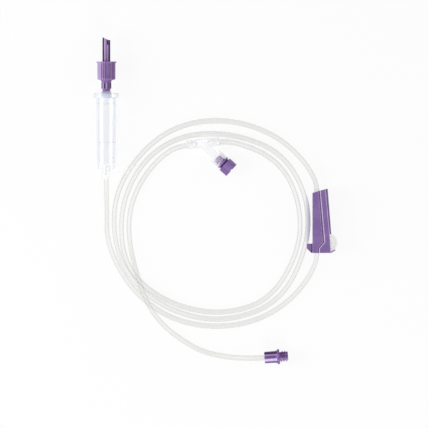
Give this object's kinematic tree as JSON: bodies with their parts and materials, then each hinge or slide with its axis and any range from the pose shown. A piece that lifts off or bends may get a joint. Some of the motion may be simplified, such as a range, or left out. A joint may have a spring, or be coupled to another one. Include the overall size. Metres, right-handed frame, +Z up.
{
  "type": "gravity feeding set",
  "caption": "Enteral gravity feeding set: bag spike, drip chamber, coiled tube with roller clamp, capped side port and threaded patient connector.",
  "frame": {"origin": "on the surface that the set lies on, under the middle of the box round its moulded pieces", "axes": "+Y along the drip chamber towards the bag spike's tip, +X towards the roller clamp, +Z up from the surface"},
  "size_m": [0.1824, 0.245, 0.0188],
  "materials": {
    "purple_clear": "translucent glossy",
    "purple_clamp": "satin",
    "purple_cap": "satin",
    "white_roller": "translucent satin",
    "clear_cap": "clear",
    "clear_chamber": "clear",
    "clear_sleeve": "clear soft",
    "clear_port": "clear",
    "tubing": "soft clear"
  },
  "bodies": {
    "set": {"spike_connector": "purple_clear", "chamber_cap": "clear_cap", "drip_chamber": "clear_chamber", "outlet_sleeve": "clear_sleeve", "feed_tube_upper": "tubing", "clamped_tube": "tubing", "feed_tube_lower": "tubing", "patient_tube": "tubing", "clamp_housing": "purple_clamp", "y_connector": "clear_port", "end_connector": "purple_clear"},
    "roller": {"clamp_roller": "white_roller"},
    "port_lid": {"port_cap": "purple_cap"}
  },
  "joints": [
    {"name": "roller_travel", "type": "slide", "parent": "set", "child": "roller", "axis": [-0.0962, 0.9954, 0], "range_m": [0, 0.03014], "deforming": ["clamped_tube"]},
    {"name": "cap_lift", "type": "slide", "parent": "set", "child": "port_lid", "axis": [0.7431, -0.6691, 0], "range_m": [0, 0.012]}
  ]
}
